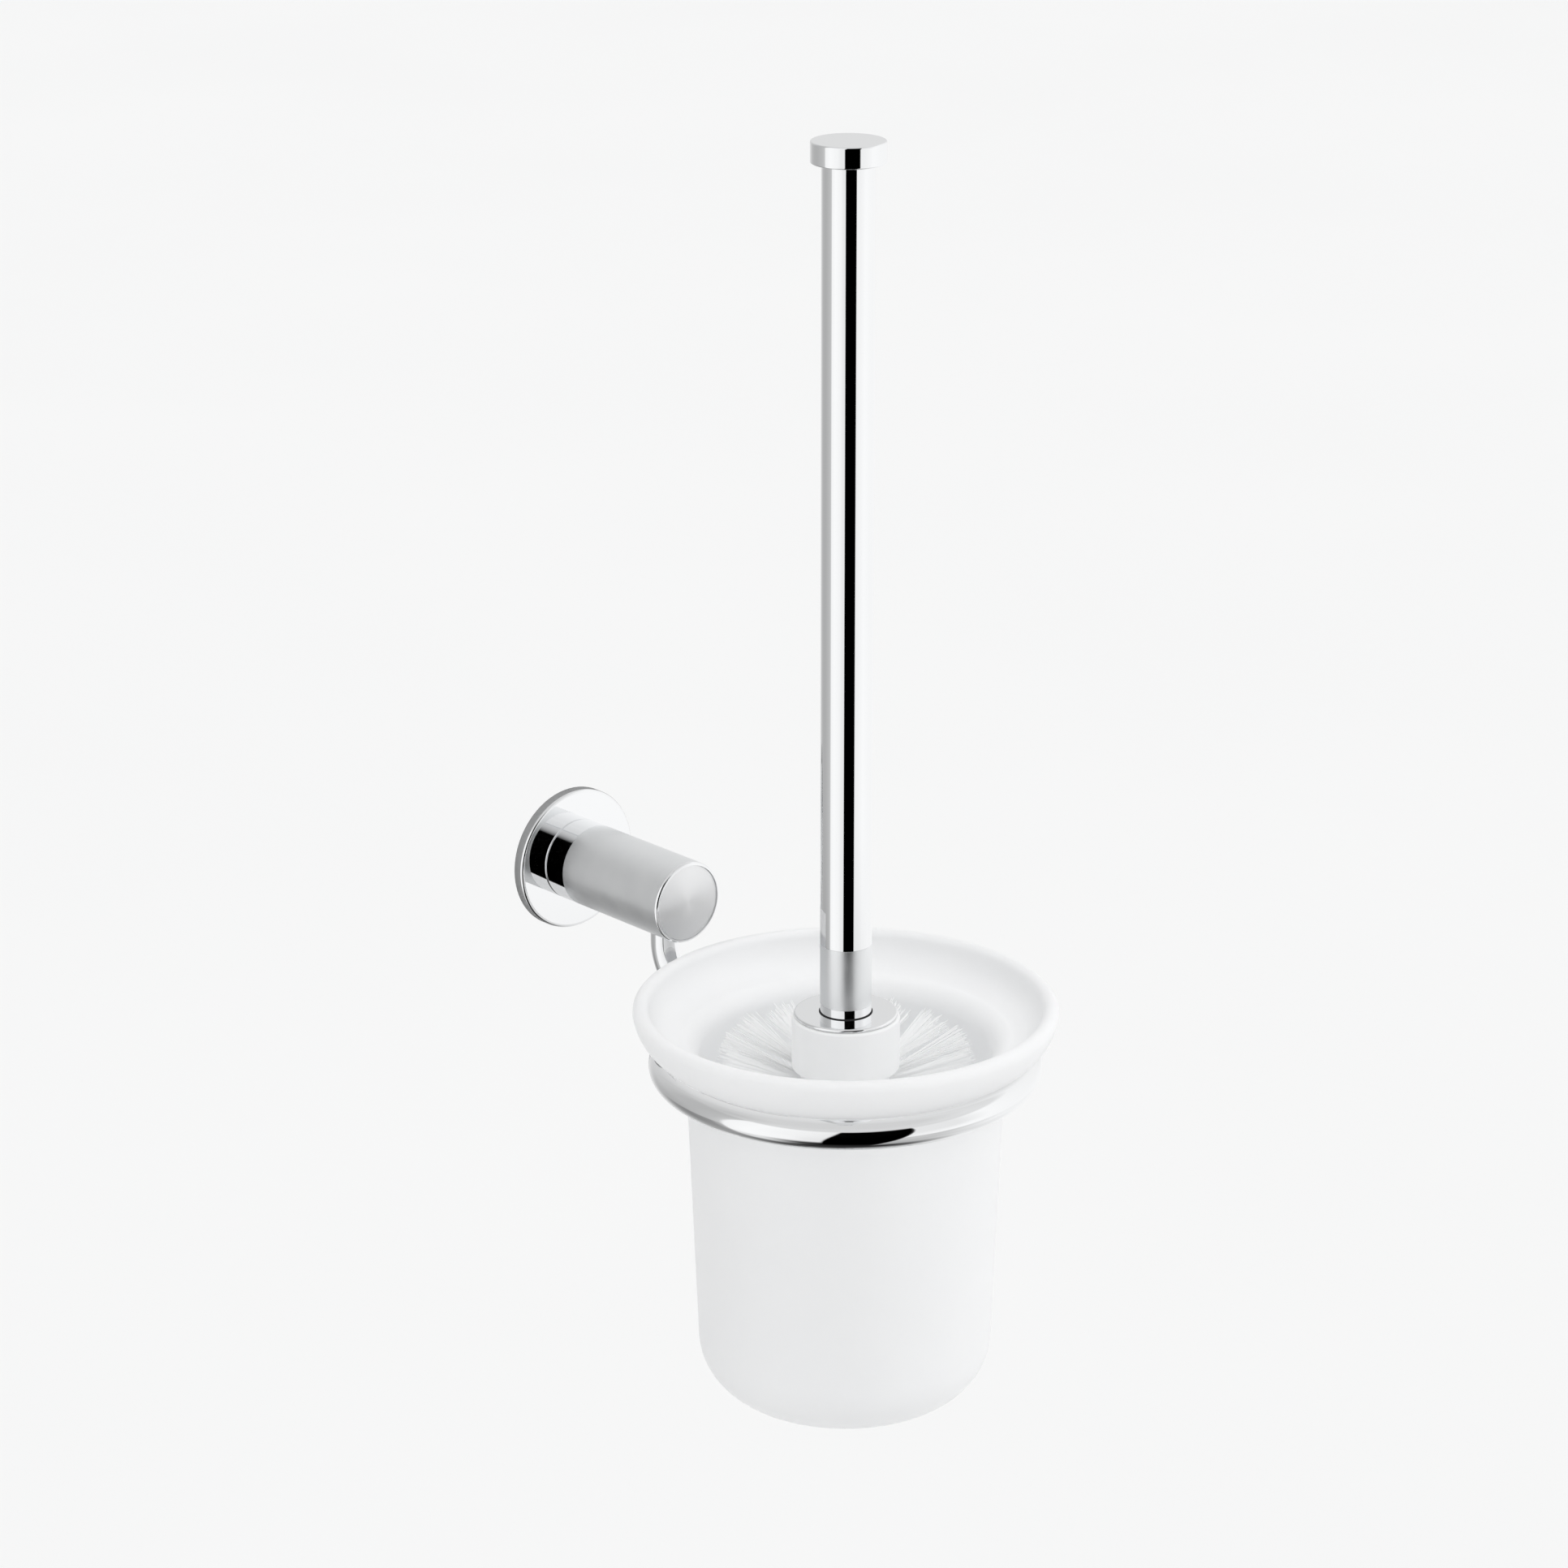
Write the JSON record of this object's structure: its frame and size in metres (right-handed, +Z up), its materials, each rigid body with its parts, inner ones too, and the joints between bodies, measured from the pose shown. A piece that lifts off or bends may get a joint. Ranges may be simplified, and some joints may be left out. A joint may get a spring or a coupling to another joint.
{
  "type": "toilet brush holder",
  "caption": "Wall-mounted toilet brush holder: a round post and ring carry a frosted glass bowl with a long-handled round brush standing in it.",
  "frame": {"origin": "centre of the wall plate's back, on the wall", "axes": "+Y into the wall, the object stands out towards -Y; +Z up; +X to the right for someone facing the wall"},
  "size_m": [0.1322, 0.1998, 0.4006],
  "materials": {
    "zinc": "plain zinc-plated steel",
    "chrome": "polished chrome",
    "satin": "satin brushed",
    "satin_face": "satin, brushed in circles",
    "dark_steel": "blackened steel",
    "frosted_glass": "frosted, satin surface",
    "black_washer": "black",
    "white_plastic": "slightly milky white",
    "bristle": "fine white nylon"
  },
  "bodies": {
    "holder": {"wall_plate": "zinc", "rosette": "chrome", "post_core": "chrome", "post_sleeve": "satin", "post_end_cap": "chrome", "post_end_disc": "satin_face", "grub_screw": "dark_steel", "arm_lock_screw": "dark_steel", "arm": "chrome", "support_ring": "chrome"},
    "bowl": {"glass_bowl": "frosted_glass"},
    "brush": {"handle_cap": "chrome", "handle_tube": "chrome", "handle_sleeve": "satin", "handle_end": "chrome", "handle_washer": "black_washer", "cover_disc": "chrome", "brush_stud": "zinc", "brush_head": "white_plastic", "bristle_row_1": "bristle", "bristle_row_2": "bristle", "bristle_row_3": "bristle", "bristle_row_4": "bristle", "bristle_row_5": "bristle", "bristle_row_6": "bristle", "bristle_row_7": "bristle", "bristle_row_8": "bristle", "bristle_end": "bristle"}
  },
  "joints": [
    {"name": "bowl_lift", "type": "slide", "parent": "holder", "child": "bowl", "axis": [0, 0, 1], "range_m": [0, 0.12]},
    {"name": "brush_lift", "type": "slide", "parent": "bowl", "child": "brush", "axis": [0, 0, 1], "range_m": [0, 0.14]}
  ]
}
